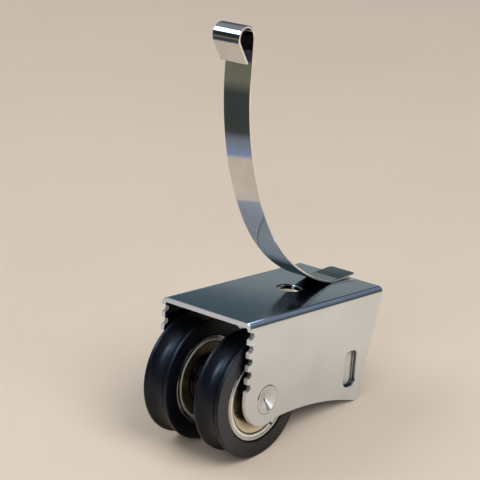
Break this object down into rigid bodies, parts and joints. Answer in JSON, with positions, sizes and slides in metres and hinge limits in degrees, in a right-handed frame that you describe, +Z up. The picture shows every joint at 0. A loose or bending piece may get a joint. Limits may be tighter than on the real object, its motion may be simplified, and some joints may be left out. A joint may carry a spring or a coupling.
{
  "type": "wardrobe door roller",
  "caption": "Sliding wardrobe door roller: folded plated bracket with toothed edges, grooved ball-bearing wheels on a riveted axle and a leaf spring on top.",
  "frame": {"origin": "on the floor under the middle of the axle, where the wheels run", "axes": "+X to the rear, +Y to the right along the axle, +Z up"},
  "size_m": [0.0628, 0.0284, 0.1009],
  "materials": {
    "bright_nickel": "bright nickel plate on stamped steel",
    "rivet_steel": "headed steel, lightly plated",
    "spacer_steel": "turned steel",
    "spring_steel": "polished spring strip",
    "wheel_plastic": "satin black moulding",
    "bearing_steel": "ground bearing steel",
    "yellow_shield": "yellow-plated pressed sheet",
    "cage_plastic": "natural moulded plastic"
  },
  "bodies": {
    "bracket": {"bracket": "bright_nickel", "axle_rivet": "rivet_steel", "centre_spacer": "spacer_steel", "left_washer": "rivet_steel", "right_washer": "rivet_steel", "left_inner_ring": "bearing_steel", "right_inner_ring": "bearing_steel"},
    "left_wheel": {"left_wheel": "wheel_plastic", "left_outer_ring": "bearing_steel", "left_outer_shield": "yellow_shield", "left_inner_shield": "yellow_shield", "left_outer_snap_ring": "bearing_steel", "left_inner_snap_ring": "bearing_steel"},
    "left_cage": {"left_cage": "cage_plastic", "left_balls": "bearing_steel"},
    "right_wheel": {"right_wheel": "wheel_plastic", "right_outer_ring": "bearing_steel", "right_outer_shield": "yellow_shield", "right_inner_shield": "yellow_shield", "right_outer_snap_ring": "bearing_steel", "right_inner_snap_ring": "bearing_steel"},
    "right_cage": {"right_cage": "cage_plastic", "right_balls": "bearing_steel"},
    "leaf_spring": {"leaf_spring": "spring_steel"}
  },
  "joints": [
    {"name": "left_wheel_spin", "type": "hinge", "parent": "bracket", "child": "left_wheel", "pos_m": [0, 0, 0.015], "axis": [0, 1, 0], "continuous": true},
    {"name": "left_cage_spin", "type": "hinge", "parent": "bracket", "child": "left_cage", "pos_m": [0, 0, 0.015], "axis": [0, 1, 0], "continuous": true},
    {"name": "right_wheel_spin", "type": "hinge", "parent": "bracket", "child": "right_wheel", "pos_m": [0, 0, 0.015], "axis": [0, 1, 0], "continuous": true},
    {"name": "right_cage_spin", "type": "hinge", "parent": "bracket", "child": "right_cage", "pos_m": [0, 0, 0.015], "axis": [0, 1, 0], "continuous": true},
    {"name": "leaf_spring_flex", "type": "hinge", "parent": "bracket", "child": "leaf_spring", "pos_m": [0.02698, 0, 0.03514], "axis": [0, -1, 0], "range_deg": [0, 30], "stiffness_Nm_per_rad": 0.7}
  ],
  "couplings": [
    {"joint": "left_cage_spin", "follows": "left_wheel_spin", "ratio": 0.63},
    {"joint": "right_cage_spin", "follows": "right_wheel_spin", "ratio": 0.63}
  ]
}
